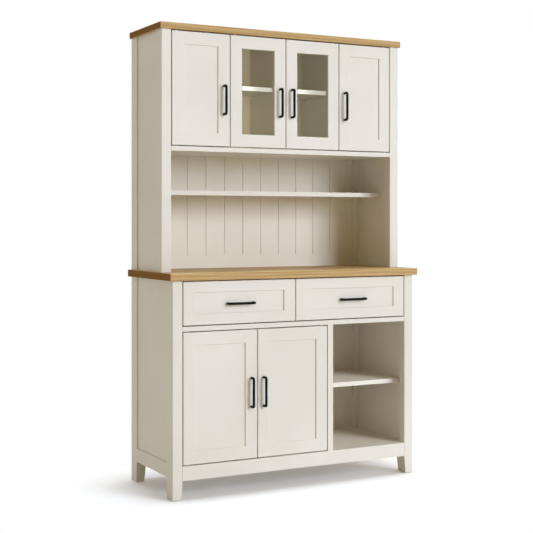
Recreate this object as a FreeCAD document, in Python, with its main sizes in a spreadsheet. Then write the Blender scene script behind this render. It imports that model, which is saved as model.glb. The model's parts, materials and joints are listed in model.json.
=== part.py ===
import FreeCAD, Part
import os
import Sketcher
from FreeCAD import Vector

# Kitchen buffet cabinet: a base with two drawers, two doors and an open bay under an oak worktop,
# and a shallower hutch with four doors over an open bay, under an oak top board.
# +Z is up, +X is to the right of someone who faces the front, and the front looks to -Y.
# The origin is on the floor, under the middle of the whole cabinet with its handles.

# Driving sizes, in millimetres
driving_sizes = {
    # Whole cabinet
    "total_height": 1800,
    "body_width": 1080,
    "base_depth": 416,
    "hutch_depth": 310,
    "base_height": 848,
    # Oak boards
    "worktop_thick": 28,
    "worktop_side_over": 15,
    "worktop_front_over": 15,
    "crown_thick": 25,
    "crown_side_over": 8,
    "crown_front_over": 8,
    "oak_round": 2.5,
    # Posts, rebated inside above the feet
    "post_width": 40,
    "post_depth": 58,
    "post_lip": 5,
    "panel_thick": 12,
    "panel_seat": 8,
    "front_core_depth": 30,
    "rear_core_depth": 28,
    "foot_taper_width": 6,
    "foot_taper_depth": 4,
    "post_ease": 1.5,
    # Rails and boards
    "foot_height": 73,
    "rail_height": 54,
    "rail_thick": 20,
    "side_rail_lift": 10,
    "board_thick": 18,
    "back_thick": 9,
    "back_seat": 10,
    # V-grooves of the hutch back
    "groove_pitch": 85.5,
    "groove_width": 5,
    "groove_depth": 3,
    "groove_foot": 52,
    # Bays
    "drawer_bay_height": 172,
    "cupboard_height": 445,
    "open_bay_width": 344,
    "divider_thick": 24,
    "drawer_split_offset": 15,
    # Fronts
    "reveal": 4,
    "front_thick": 20,
    "stile_width": 50,
    "drawer_stile_width": 50,
    "drawer_split_stile": 67,
    "drawer_rail_width": 42,
    "recess_depth": 5,
    "front_ease": 1,
    # Glass
    "glass_thick": 4,
    "glass_seat": 8,
    "glass_lip": 8,
    "glass_play": 0.5,
    # Door pivots
    "pivot_radius": 3,
    "pivot_seat": 11,
    "pivot_bite": 12,
    "pivot_play": 0.06,
    "pivot_bore_spare": 1,
    "collar_radius": 6,
    "collar_play": 0.3,
    "swing_play": 1.8,
    # Handles
    "handle_centres": 110,
    "handle_radius": 5,
    "handle_reach": 26,
    "handle_bend": 7,
    "handle_edge": 25,
    "hutch_handle_drop": 38,
    "base_handle_rise": 6,
    "drawer_handle_drop": 5,
    "screw_radius": 2,
    "screw_bite": 9,
    "screw_head_radius": 4,
    "screw_head_thick": 2.5,
    # Shelves
    "cupboard_shelf_setback": 92,
    "open_shelf_setback": 106,
    "base_shelf_setback": 66,
    "shelf_play": 0.5,
    "shelf_pin_radius": 2.5,
    "shelf_pin_seat": 6,
    "shelf_pin_reach": 10,
    "shelf_pin_inset": 35,
    # Drawer boxes
    "box_side_gap": 12,
    "box_side_thick": 12,
    "box_depth": 340,
    "box_height": 130,
    "box_lift": 12,
    "box_bottom_lift": 8,
    "box_bottom_thick": 6,
    "box_bottom_seat": 6,
    "runner_height": 14,
    "runner_bite": 6.5,
    "runner_play": 0.4,
    "runner_length": 330,
    "runner_lift": 60,
    # Dowels, glides, catches and wall brackets
    "dowel_radius": 4,
    "dowel_half_length": 20,
    "rail_dowel_inset": 13,
    "glide_thick": 3,
    "glide_radius": 13,
    "catch_width": 40,
    "catch_height": 14,
    "catch_depth": 16,
    "catch_gap": 0.5,
    "catch_side_gap": 2.5,
    "bracket_width": 30,
    "bracket_leg": 40,
    "bracket_thick": 2,
    "bracket_hole_radius": 3,
    "bracket_hole_drop": 26,
    "bracket_place": 380,
    # One overrun for all cuts
    "overrun": 1,
}

# Heights of the shelves, as shares of the bays that they stand in
cupboard_shelf_share = 0.5335
open_shelf_share = 0.64
base_shelf_share = 0.479

doc = FreeCAD.newDocument("buffet_cabinet")
sheet = doc.addObject("Spreadsheet::Sheet", "sizes")
for row, (alias, millimetres) in enumerate(driving_sizes.items(), start=1):
    sheet.set(f"A{row}", alias)
    sheet.set(f"B{row}", str(millimetres))
    sheet.setAlias(f"B{row}", alias)
doc.recompute()


class Size:
    # A length kept as a formula over the sheet, beside the value that it has now.
    def __init__(self, formula, value):
        self.formula = formula
        self.value = value

    def __add__(self, other):
        return Size(f"({self.formula} + {sized(other).formula})", self.value + sized(other).value)

    def __sub__(self, other):
        return Size(f"({self.formula} - {sized(other).formula})", self.value - sized(other).value)

    def __mul__(self, other):
        return Size(f"({self.formula} * {sized(other).formula})", self.value * sized(other).value)

    def __truediv__(self, other):
        return Size(f"({self.formula} / {sized(other).formula})", self.value / sized(other).value)

    def __neg__(self):
        return Size(f"(0 - {self.formula})", -self.value)

    def __lt__(self, other):
        return self.value < sized(other).value


def sized(number):
    if isinstance(number, Size):
        return number
    return Size(str(number), number)


def larger(one, other):
    return Size(f"max({one.formula}; {other.formula})", max(one.value, other.value))


class Sheet:
    # Each cell of the sheet by its alias, as a Size.
    def __getattr__(self, alias):
        return Size(f"sizes.{alias}", float(sheet.get(alias)))


d = Sheet()
zero = sized(0)
tolerance = 1e-6
nodes = []


def node(thing, label):
    thing.Label = label
    nodes.append(thing)
    return thing


def place(thing, x, y, z):
    for axis, size in (("x", x), ("y", y), ("z", z)):
        thing.setExpression(f"Placement.Base.{axis}", sized(size).formula)


# Part primitives and booleans
def board(name, x, y, z):
    # A board between two planes on each axis.
    thing = doc.addObject("Part::Box", name)
    lows = []
    for side, ends in (("Length", x), ("Width", y), ("Height", z)):
        low, high = sorted(ends)
        thing.setExpression(side, (high - low).formula)
        lows.append(low)
    place(thing, *lows)
    return thing


turn_to_axis = {
    "x": FreeCAD.Rotation(Vector(0, 1, 0), 90),
    "y": FreeCAD.Rotation(Vector(1, 0, 0), -90),
    "z": FreeCAD.Rotation(),
}


def rod(name, axis, start, length, radius):
    # A round rod that runs from start along +X, +Y or +Z.
    thing = doc.addObject("Part::Cylinder", name)
    thing.Placement = FreeCAD.Placement(Vector(), turn_to_axis[axis])
    thing.setExpression("Radius", radius.formula)
    thing.setExpression("Height", length.formula)
    place(thing, *start)
    return thing


def group(name, things):
    thing = doc.addObject("Part::Compound", name)
    thing.Links = things
    return thing


def joined(name, things):
    thing = doc.addObject("Part::MultiFuse", name)
    thing.Shapes = things
    return thing


def cut(name, base, tool):
    thing = doc.addObject("Part::Cut", name)
    thing.Base = base
    thing.Tool = tool
    return thing


# PartDesign bodies and their sketches
def new_body(name):
    return doc.addObject("PartDesign::Body", name)


def plane_sketch(body, name, role, offset):
    # A sketch on one of the body's own origin planes, moved along that plane's normal.
    sketch = body.newObject("Sketcher::SketchObject", name)
    plane = next(feature for feature in body.Origin.OriginFeatures if feature.Role == role)
    sketch.AttachmentSupport = [(plane, "")]
    sketch.MapMode = "FlatFace"
    sketch.setExpression("AttachmentOffset.Base.z", sized(offset).formula)
    return sketch


def level_sketch(body, name, z):
    return plane_sketch(body, name, "XY_Plane", z)


def front_sketch(body, name, y):
    # Seen from the front: across is X and up is Z. The plane's normal is -Y.
    return plane_sketch(body, name, "XZ_Plane", -y)


def fix_point(sketch, geometry, point, across, up):
    for kind, size in (("DistanceX", across), ("DistanceY", up)):
        index = sketch.addConstraint(Sketcher.Constraint(kind, -1, 1, geometry, point, size.value))
        sketch.setExpression(f"Constraints[{index}]", size.formula)


def fix_radius(sketch, geometry, radius):
    index = sketch.addConstraint(Sketcher.Constraint("Radius", geometry, radius.value))
    sketch.setExpression(f"Constraints[{index}]", radius.formula)


def flat_point(corner):
    return Vector(corner[0].value, corner[1].value, 0)


def draw_outline(sketch, corners):
    # A closed outline of straight lines, with each corner at its own two sizes.
    corners = [(sized(across), sized(up)) for across, up in corners]
    ends = corners[1:] + corners[:1]
    for start, end in zip(corners, ends):
        sketch.addGeometry(Part.LineSegment(flat_point(start), flat_point(end)), False)
    for index in range(len(corners)):
        following = (index + 1) % len(corners)
        sketch.addConstraint(Sketcher.Constraint("Coincident", index, 2, following, 1))
    for index, corner in enumerate(corners):
        fix_point(sketch, index, 1, *corner)


def rectangle(x, z):
    (left, right), (low, high) = sorted(x), sorted(z)
    return [(left, low), (right, low), (right, high), (left, high)]


def add_feature(body, kind, name, profile, length, backwards=False):
    feature = body.newObject(f"PartDesign::{kind}", name)
    feature.Profile = profile
    feature.setExpression("Length", length.formula)
    feature.Reversed = backwards
    body.Tip = feature
    return feature


def prism(name, corners, z):
    # An upright prism on an outline seen from above.
    body = new_body(name)
    low, high = sorted(z)
    sketch = level_sketch(body, "plan", low)
    draw_outline(sketch, corners)
    add_feature(body, "Pad", "thickness", sketch, high - low)
    return body


def edges_where(shape, test):
    return [
        f"Edge{index}"
        for index, edge in enumerate(shape.Edges, start=1)
        if test([vertex.Point for vertex in edge.Vertexes])
    ]


def ease_edges(body, kind, base, edges, size):
    # A fillet or a chamfer on the named edges of the body's last feature.
    feature = body.newObject(f"PartDesign::{kind}", "eased_edges")
    feature.Base = (base, edges)
    feature.setExpression("Radius" if kind == "Fillet" else "Size", size.formula)
    body.Tip = feature
    return feature


# Main planes and levels
half_width = d.body_width / 2
inner_x = half_width - d.post_width
panel_out_x = half_width - d.post_lip
panel_in_x = panel_out_x - d.panel_thick
back_y = (d.base_depth + d.handle_reach) / 2
base_y = back_y - d.base_depth
hutch_y = back_y - d.hutch_depth
back_face_y = back_y - d.back_thick
rear_core_y = back_y - d.rear_core_depth

worktop_z = d.base_height - d.worktop_thick
crown_z = d.total_height - d.crown_thick
floor_z = d.foot_height + d.rail_height
mid_top_z = worktop_z - d.drawer_bay_height
mid_z = mid_top_z - d.board_thick
deck_top_z = crown_z - d.cupboard_height
deck_z = deck_top_z - d.board_thick
side_rail_z = d.foot_height + d.side_rail_lift
side_rail_top_z = side_rail_z + d.rail_height

divider_right_x = inner_x - d.open_bay_width
divider_left_x = divider_right_x - d.divider_thick
split_x = -d.drawer_split_offset

# A door turns about the middle of its thickness, far enough from its edge for the corner to stay
# within the reveal. What stands behind a door stays behind the arc of that corner.
corner_room = d.reveal - d.swing_play
pivot_inset = (d.front_thick * d.front_thick / 4 - corner_room * corner_room) / (corner_room * 2)
swing_depth = d.front_thick / 2 + pivot_inset + d.reveal
behind_door = larger(swing_depth, d.front_core_depth + d.shelf_play)

door_width = (inner_x * 2 - d.reveal * 5) / 4
meeting_x = inner_x - d.reveal * 3 / 2 - door_width
pair_width = (divider_left_x + inner_x - d.reveal * 3) / 2
sides = {"left": -1, "right": 1}


def both_sides(x):
    return (-x, x)


def mirrored_plan(right_side):
    # The outline of a board that is the same left and right, from its right-hand corners.
    left_side = [(-x, y) for x, y in reversed(right_side)]
    return right_side + left_side


# Round fixings, which bore the boards that they sit in
def dowel(axis, x, y, z):
    middle = {"x": x, "y": y, "z": z}
    middle[axis] = middle[axis] - d.dowel_half_length
    start = (middle["x"], middle["y"], middle["z"])
    return rod("dowel", axis, start, d.dowel_half_length * 2, d.dowel_radius)


post_flange = d.post_lip + d.panel_thick
dowel_rods = []
for side in sides.values():
    front_x = (half_width - d.post_width / 2) * side
    rear_x = (half_width - post_flange) * side
    flange_x = (half_width - post_flange / 2) * side
    front_inset = d.front_core_depth / 2
    rear_y = rear_core_y + (d.rear_core_depth - d.back_thick) / 2
    flange_y = back_y - d.post_depth + d.panel_seat + (d.post_depth - d.panel_seat - d.rear_core_depth) / 2
    joint_x = inner_x * side
    rail_middle_y = base_y + d.rail_thick / 2
    dowel_rods += [
        dowel("z", front_x, hutch_y + front_inset, crown_z),
        dowel("z", rear_x, rear_y, crown_z),
        dowel("z", front_x, hutch_y + front_inset, d.base_height),
        dowel("z", rear_x, rear_y, d.base_height),
        dowel("z", front_x, base_y + front_inset, worktop_z),
        dowel("z", flange_x, flange_y, worktop_z),
        dowel("x", joint_x, hutch_y + d.front_core_depth / 2, deck_z + d.board_thick / 2),
        dowel("x", joint_x, rail_middle_y, mid_z + d.board_thick / 2),
        dowel("x", joint_x, rail_middle_y, d.foot_height + d.rail_dowel_inset),
        dowel("x", joint_x, rail_middle_y, floor_z - d.rail_dowel_inset),
    ]
dowels = node(group("dowel_group", dowel_rods), "carcass_dowels")


# Door leaves: name, edges across, edges up, face, hinge side
def leaf(name, left, width, z, face_y, hinge):
    right = left + width
    hinge_x = left + pivot_inset if hinge == "left" else right - pivot_inset
    free_x = right - d.handle_edge if hinge == "left" else left + d.handle_edge
    catch_inset = (d.board_thick - d.reveal) / 2 + d.catch_side_gap
    catch_x = right - catch_inset if hinge == "left" else left + catch_inset + d.catch_width
    return {
        "name": name,
        "x": (left, right),
        "z": z,
        "face": face_y,
        "hinge_x": hinge_x,
        "free_x": free_x,
        "catch_x": (catch_x - d.catch_width, catch_x),
    }


hutch_door_z = (deck_top_z + d.reveal, crown_z - d.reveal)
base_door_z = (floor_z + d.reveal, mid_z - d.reveal)
door_step = door_width + d.reveal
first_door_x = -inner_x + d.reveal
hutch_leaves = [
    leaf("hutch_door_left", first_door_x, door_width, hutch_door_z, hutch_y, "left"),
    leaf("glass_door_left", first_door_x + door_step, door_width, hutch_door_z, hutch_y, "left"),
    leaf("glass_door_right", first_door_x + door_step * 2, door_width, hutch_door_z, hutch_y, "right"),
    leaf("hutch_door_right", first_door_x + door_step * 3, door_width, hutch_door_z, hutch_y, "right"),
]
base_leaves = [
    leaf("base_door_left", first_door_x, pair_width, base_door_z, base_y, "left"),
    leaf("base_door_right", first_door_x + pair_width + d.reveal, pair_width, base_door_z, base_y, "right"),
]


# Pivot pins: a straight pin with a collar that carries the door clear of the board beside it
def pivot_pin(x, y, seat_z, toward_door):
    length = d.pivot_seat + d.reveal + d.pivot_bite
    collar = d.reveal - d.collar_play
    if toward_door > 0:
        pin_z, collar_z = seat_z - d.pivot_seat, seat_z
    else:
        pin_z, collar_z = seat_z - d.reveal - d.pivot_bite, seat_z - collar
    pin = rod("pivot", "z", (x, y, pin_z), length, d.pivot_radius)
    ring = rod("pivot_collar", "z", (x, y, collar_z), collar, d.collar_radius)
    return joined("pivot_pin", [pin, ring])


pins = []
for door in hutch_leaves + base_leaves:
    pivot_y = door["face"] + d.front_thick / 2
    low, high = door["z"]
    pins.append(pivot_pin(door["hinge_x"], pivot_y, low - d.reveal, 1))
    pins.append(pivot_pin(door["hinge_x"], pivot_y, high + d.reveal, -1))
pivot_pins = node(group("pivot_pin_group", pins), "door_pivot_pins")
board_fixings = group("board_fixings", [dowels, pivot_pins])

# Shelf levels, and the round pins that carry the shelves
cupboard_shelf_z = deck_top_z + d.cupboard_height * cupboard_shelf_share
open_shelf_z = d.base_height + (deck_z - d.base_height) * open_shelf_share
base_shelf_z = floor_z + (mid_z - floor_z) * base_shelf_share
centre_divider_x = d.board_thick / 2
hutch_divider_in_x = meeting_x - d.board_thick / 2
hutch_divider_out_x = meeting_x + d.board_thick / 2
cupboard_shelf_y = hutch_y + d.cupboard_shelf_setback
open_shelf_y = hutch_y + d.open_shelf_setback
base_open_shelf_y = base_y + d.base_shelf_setback


def pin_pair(wall_x, facing, front_y, rear_y, shelf_z):
    # Two pins in an upright, under a shelf that lies on the facing side of it.
    length = d.shelf_pin_seat + d.shelf_pin_reach
    start_x = wall_x - d.shelf_pin_seat if facing > 0 else wall_x - d.shelf_pin_reach
    pin_z = shelf_z - d.shelf_pin_radius
    return [
        rod("shelf_pin", "x", (start_x, y, pin_z), length, d.shelf_pin_radius)
        for y in (front_y + d.shelf_pin_inset, rear_y - d.shelf_pin_inset)
    ]


base_shelf_front_y = base_y + behind_door
shelf_supports = []
for side in sides.values():
    for wall_x, facing in (
        (panel_in_x, -side),
        (hutch_divider_out_x, side),
        (hutch_divider_in_x, -side),
        (centre_divider_x, side),
    ):
        shelf_supports += pin_pair(wall_x * side, facing, cupboard_shelf_y, rear_core_y, cupboard_shelf_z)
    shelf_supports += pin_pair(panel_in_x * side, -side, open_shelf_y, rear_core_y, open_shelf_z)
shelf_supports += pin_pair(-panel_in_x, 1, base_shelf_front_y, rear_core_y, base_shelf_z)
shelf_supports += pin_pair(divider_left_x, -1, base_shelf_front_y, rear_core_y, base_shelf_z)
shelf_supports += pin_pair(divider_right_x, 1, base_open_shelf_y, rear_core_y, base_shelf_z)
shelf_supports += pin_pair(panel_in_x, -1, base_open_shelf_y, rear_core_y, base_shelf_z)
shelf_pins = node(group("shelf_pin_group", shelf_supports), "shelf_pins")


# Oak boards, rounded on every edge but those along the wall
def oak_board(label, side_over, front_y, z):
    x = half_width + side_over
    low, high = sorted(z)
    body = prism(f"{label}_blank", rectangle(both_sides(x), (front_y, back_y)), (low, high))
    doc.recompute()
    edges = edges_where(
        body.Tip.Shape,
        lambda points: not all(abs(point.y - back_y.value) < tolerance for point in points),
    )
    ease_edges(body, "Fillet", body.Tip, edges, d.oak_round)
    return node(cut(f"{label}_bored", body, board_fixings), label)


oak_board("hutch_top", d.crown_side_over, hutch_y - d.crown_front_over, (crown_z, d.total_height))
oak_board("worktop", d.worktop_side_over, base_y - d.worktop_front_over, (worktop_z, d.base_height))


# Posts: u runs inwards from the outer side, v runs inwards from the front or the back face
def post_plan(core_depth, back_rebate):
    ease = d.post_ease
    lip_start = d.post_depth - d.panel_seat
    if back_rebate:
        seat_start = d.post_width - d.back_seat
        outer = [(zero, ease), (ease, zero), (seat_start, zero)]
        outer += [(seat_start, d.back_thick), (d.post_width, d.back_thick)]
    else:
        outer = [(zero, ease), (ease, zero), (d.post_width - ease, zero), (d.post_width, ease)]
    return outer + [
        (d.post_width, core_depth),
        (post_flange, core_depth),
        (post_flange, lip_start),
        (d.post_lip, lip_start),
        (d.post_lip, d.post_depth),
        (zero, d.post_depth),
    ]


def foot_plan(width, depth):
    ease = d.post_ease
    return [(zero, ease), (ease, zero), (width, zero), (width, depth), (zero, depth)]


def post(name, side, face_y, inward, plan, z, has_foot):
    def placed(corners):
        return [((half_width - u) * side, face_y + v * inward) for u, v in corners]

    body = prism(name, placed(plan), z)
    if has_foot:
        sole = level_sketch(body, "sole", d.glide_thick)
        narrow = foot_plan(d.post_width - d.foot_taper_width, d.post_depth - d.foot_taper_depth)
        draw_outline(sole, placed(narrow))
        ankle = level_sketch(body, "ankle", d.foot_height)
        draw_outline(ankle, placed(foot_plan(d.post_width, d.post_depth)))
        foot = body.newObject("PartDesign::AdditiveLoft", "tapered_foot")
        foot.Profile = sole
        foot.Sections = [ankle]
        foot.Ruled = True
        body.Tip = foot
    return cut(f"{name}_bored", body, dowels)


front_plan = post_plan(d.front_core_depth, False)
rear_plan = post_plan(d.rear_core_depth, True)
hutch_post_z = (d.base_height, crown_z)
base_post_z = (d.foot_height, worktop_z)
for section, face_y, z, has_foot in (
    ("hutch", hutch_y, hutch_post_z, False),
    ("base", base_y, base_post_z, True),
):
    rear_posts = []
    for label, side in sides.items():
        front_post = post(f"{section}_front_{label}", side, face_y, 1, front_plan, z, has_foot)
        node(front_post, f"{section}_front_post_{label}")
        rear_posts.append(post(f"{section}_rear_{label}", side, back_y, -1, rear_plan, z, has_foot))
    node(group(f"{section}_rear_pair", rear_posts), f"{section}_rear_posts")

glides = []
for side in sides.values():
    glide_x = (half_width - (d.post_width - d.foot_taper_width) / 2) * side
    glide_inset = (d.post_depth - d.foot_taper_depth) / 2
    for glide_y in (base_y + glide_inset, back_y - glide_inset):
        glides.append(rod("glide", "z", (glide_x, glide_y, zero), d.glide_thick, d.glide_radius))
node(group("glide_group", glides), "foot_glides")


# Side panels and side rails, which sit behind the lips of the posts
def panel_pair(label, face_y, z):
    y = (face_y + d.post_depth - d.panel_seat, back_y - d.post_depth + d.panel_seat)
    panels = []
    for side_name, side in sides.items():
        blank = board(f"{label}_{side_name}_blank", (panel_in_x * side, panel_out_x * side), y, z)
        panels.append(cut(f"{label}_{side_name}_bored", blank, shelf_pins))
    return node(group(f"{label}_pair", panels), label)


panel_pair("hutch_side_panels", hutch_y, hutch_post_z)
panel_pair("base_side_panels", base_y, (side_rail_top_z - d.panel_seat, worktop_z))

side_rails = []
for label, side in sides.items():
    front_y, rear_y = base_y + d.post_depth, back_y - d.post_depth
    tongue_front_y, tongue_rear_y = front_y - d.panel_seat, rear_y + d.panel_seat
    rail_plan = [
        (half_width * side, front_y),
        (panel_out_x * side, front_y),
        (panel_out_x * side, tongue_front_y),
        (panel_in_x * side, tongue_front_y),
        (panel_in_x * side, tongue_rear_y),
        (panel_out_x * side, tongue_rear_y),
        (panel_out_x * side, rear_y),
        (half_width * side, rear_y),
    ]
    blank = prism(f"side_rail_{label}_blank", rail_plan, (side_rail_z, side_rail_top_z))
    rebate = board(
        f"side_rail_{label}_rebate",
        ((panel_in_x - d.overrun) * side, panel_out_x * side),
        (tongue_front_y - d.overrun, tongue_rear_y + d.overrun),
        (side_rail_top_z - d.panel_seat, side_rail_top_z + d.overrun),
    )
    side_rails.append(cut(f"side_rail_{label}", blank, rebate))
node(group("side_rail_pair", side_rails), "base_side_rails")

# Rails across the base, between the front posts
rail_y = (base_y, base_y + d.rail_thick)
for label, z in (("base_bottom_rail", (d.foot_height, floor_z)), ("base_mid_rail", (mid_z, mid_top_z))):
    blank = board(f"{label}_blank", both_sides(inner_x), rail_y, z)
    node(cut(f"{label}_bored", blank, board_fixings), label)


# Boards that reach from side to side, notched round the posts
def level_board(name, front_y, core_y, z):
    right_side = [
        (inner_x, front_y),
        (inner_x, core_y),
        (panel_in_x, core_y),
        (panel_in_x, rear_core_y),
        (inner_x, rear_core_y),
        (inner_x, back_face_y),
    ]
    return prism(name, mirrored_plan(right_side), z)


deck_blank = level_board("deck_blank", hutch_y, hutch_y + d.front_core_depth, (deck_z, deck_top_z))
node(cut("deck_bored", deck_blank, board_fixings), "hutch_deck")
behind_rail_y = base_y + d.rail_thick
base_core_y = base_y + d.front_core_depth
node(level_board("floor", behind_rail_y, base_core_y, (floor_z - d.board_thick, floor_z)), "base_floor")
node(level_board("dust", behind_rail_y, base_core_y, (mid_z, mid_top_z)), "base_dust_panel")

# Uprights inside
divider_y = (hutch_y + swing_depth, back_face_y)
divider_z = (deck_top_z, crown_z)
hutch_dividers = []
for label, x in (
    ("left", (-hutch_divider_out_x, -hutch_divider_in_x)),
    ("centre", both_sides(centre_divider_x)),
    ("right", (hutch_divider_in_x, hutch_divider_out_x)),
):
    blank = board(f"hutch_divider_{label}_blank", x, divider_y, divider_z)
    hutch_dividers.append(cut(f"hutch_divider_{label}", blank, shelf_pins))
node(group("hutch_divider_set", hutch_dividers), "hutch_dividers")

divider_blank = board(
    "base_divider_blank", (divider_left_x, divider_right_x), (base_y, back_face_y), (floor_z, mid_z)
)
node(cut("base_divider_bored", divider_blank, shelf_pins), "base_divider")
drawer_divider_x = (split_x - d.board_thick / 2, split_x + d.board_thick / 2)
drawer_divider_y = (base_y + d.front_thick + d.reveal, back_face_y)
node(board("drawer_upright", drawer_divider_x, drawer_divider_y, (mid_top_z, worktop_z)), "drawer_divider")

# Loose shelves on their pins
cupboard_shelf_depth = (cupboard_shelf_y, rear_core_y - d.shelf_play)
cupboard_shelf_span = (cupboard_shelf_z, cupboard_shelf_z + d.board_thick)
for place_name, near_x, far_x in (
    ("centre", centre_divider_x, hutch_divider_in_x),
    ("side", hutch_divider_out_x, panel_in_x),
):
    shelf_pair = []
    for label, side in sides.items():
        x = ((near_x + d.shelf_play) * side, (far_x - d.shelf_play) * side)
        shelf_pair.append(board(f"{place_name}_shelf_{label}", x, cupboard_shelf_depth, cupboard_shelf_span))
    node(group(f"{place_name}_shelf_pair", shelf_pair), f"hutch_{place_name}_shelves")

shelf_end_x = panel_in_x - d.shelf_play
shelf_core_x = inner_x - d.shelf_play
shelf_core_y = rear_core_y - d.shelf_play
shelf_back_y = back_face_y - d.shelf_play
open_shelf_corners = [
    (shelf_end_x, open_shelf_y),
    (shelf_end_x, shelf_core_y),
    (shelf_core_x, shelf_core_y),
    (shelf_core_x, shelf_back_y),
]
open_shelf_span = (open_shelf_z, open_shelf_z + d.board_thick)
node(prism("open_shelf", mirrored_plan(open_shelf_corners), open_shelf_span), "hutch_open_shelf")

base_shelf_span = (base_shelf_z, base_shelf_z + d.board_thick)
door_shelf_x = (-panel_in_x + d.shelf_play, divider_left_x - d.shelf_play)
door_shelf_y = (base_shelf_front_y, rear_core_y - d.shelf_play)
node(board("door_shelf", door_shelf_x, door_shelf_y, base_shelf_span), "base_door_shelf")
bay_left_x = divider_right_x + d.shelf_play
bay_shelf_corners = [
    (bay_left_x, base_open_shelf_y),
    (shelf_end_x, base_open_shelf_y),
    (shelf_end_x, shelf_core_y),
    (shelf_core_x, shelf_core_y),
    (shelf_core_x, shelf_back_y),
    (bay_left_x, shelf_back_y),
]
node(prism("bay_shelf", bay_shelf_corners, base_shelf_span), "base_open_shelf")

# Wall brackets: an angle under the top board, with a hole through it and the back for a wall screw
bracket_y = (back_face_y - d.bracket_leg, back_face_y)
bracket_hole_z = crown_z - d.bracket_hole_drop
brackets = []
wall_holes = []
for label, side in sides.items():
    middle_x = d.bracket_place * side
    x = (middle_x - d.bracket_width / 2, middle_x + d.bracket_width / 2)
    top_leg = board("bracket_top_leg", x, bracket_y, (crown_z - d.bracket_thick, crown_z))
    wall_leg_y = (back_face_y - d.bracket_thick, back_face_y)
    wall_leg = board("bracket_wall_leg", x, wall_leg_y, (crown_z - d.bracket_leg, crown_z))
    hole_start = (middle_x, back_face_y - d.bracket_thick - d.overrun, bracket_hole_z)
    hole_length = d.bracket_thick + d.back_thick + d.overrun * 2
    hole = rod("wall_hole", "y", hole_start, hole_length, d.bracket_hole_radius)
    wall_holes.append(hole)
    brackets.append(cut(f"bracket_{label}", joined("bracket_angle", [top_leg, wall_leg]), hole))
node(group("bracket_pair", brackets), "wall_brackets")

# Backs: the hutch back has V-grooves that stop above the worktop
back_x = both_sides(inner_x + d.back_seat)
node(board("plain_back", back_x, (back_face_y, back_y), (floor_z - d.board_thick, worktop_z)), "base_back")
groove_count = 2 * int((inner_x.value - d.groove_width.value) / d.groove_pitch.value + 1 / 2)
grooved = prism("grooved_back", rectangle(back_x, (back_face_y, back_y)), (d.base_height, crown_z))
groove_sketch = level_sketch(grooved, "groove", d.base_height + d.groove_foot)
first_groove_x = -(d.groove_pitch * (groove_count - 1) / 2)
groove_mouth_y = back_face_y - d.overrun
groove_half = d.groove_width / 2
draw_outline(
    groove_sketch,
    [
        (first_groove_x - groove_half, groove_mouth_y),
        (first_groove_x + groove_half, groove_mouth_y),
        (first_groove_x + groove_half, back_face_y),
        (first_groove_x, back_face_y + d.groove_depth),
        (first_groove_x - groove_half, back_face_y),
    ],
)
groove_run = crown_z - d.base_height - d.groove_foot
groove = add_feature(grooved, "Pocket", "v_groove", groove_sketch, groove_run, backwards=True)
grooves = grooved.newObject("PartDesign::LinearPattern", "v_grooves")
grooves.Originals = [groove]
grooves.Direction = (groove_sketch, ["H_Axis"])
grooves.setExpression("Length", (d.groove_pitch * (groove_count - 1)).formula)
grooves.Occurrences = groove_count
grooved.Tip = grooves
node(cut("hutch_back_bored", grooved, group("wall_hole_group", wall_holes)), "hutch_back")

# Catches: magnets behind the free edge of each door, under the board above it
catches = []
for door in hutch_leaves + base_leaves:
    catch_y = door["face"] + d.front_thick + d.catch_gap
    ceiling_z = door["z"][1] + d.reveal
    y = (catch_y, catch_y + d.catch_depth)
    catches.append(board("catch", door["catch_x"], y, (ceiling_z - d.catch_height, ceiling_z)))
node(group("catch_group", catches), "door_catches")


# Handles: a round bar bent to a bow, with a screw from behind in each foot
def bow_path(sketch, foot_one, foot_two, along, out):
    # Legs, bends and bar from one foot to the other. along and out are unit steps in the sketch.
    reach = d.handle_reach - d.handle_radius
    bend = d.handle_bend

    def step(foot, ahead, outward):
        return tuple(foot[i] + ahead * along[i] + outward * out[i] for i in (0, 1))

    corners = [
        foot_one,
        step(foot_one, zero, reach - bend),
        step(foot_one, bend, reach),
        step(foot_two, -bend, reach),
        step(foot_two, zero, reach - bend),
        foot_two,
    ]
    points = [flat_point(corner) for corner in corners]
    first_middle = flat_point(step(foot_one, bend, reach - bend))
    second_middle = flat_point(step(foot_two, -bend, reach - bend))
    slant = 1 / 2 ** 0.5
    outward = Vector(out[0], out[1], 0)
    ahead = Vector(along[0], along[1], 0)
    bends = [
        first_middle + (outward - ahead) * (bend.value * slant),
        second_middle + (outward + ahead) * (bend.value * slant),
    ]
    sketch.addGeometry(Part.LineSegment(points[0], points[1]), False)
    sketch.addGeometry(Part.Arc(points[1], bends[0], points[2]), False)
    sketch.addGeometry(Part.LineSegment(points[2], points[3]), False)
    sketch.addGeometry(Part.Arc(points[3], bends[1], points[4]), False)
    sketch.addGeometry(Part.LineSegment(points[4], points[5]), False)
    for line, start, end in ((0, 0, 1), (2, 2, 3), (4, 4, 5)):
        fix_point(sketch, line, 1, *corners[start])
        fix_point(sketch, line, 2, *corners[end])
    for arc, start, end in ((1, points[1], points[2]), (3, points[3], points[4])):
        arc_start = sketch.getPoint(arc, 1)
        start_end = 1 if (arc_start - start).Length < (arc_start - end).Length else 2
        sketch.addConstraint(Sketcher.Constraint("Coincident", arc, start_end, arc - 1, 2))
        sketch.addConstraint(Sketcher.Constraint("Coincident", arc, 3 - start_end, arc + 1, 1))
        fix_radius(sketch, arc, bend)


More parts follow.
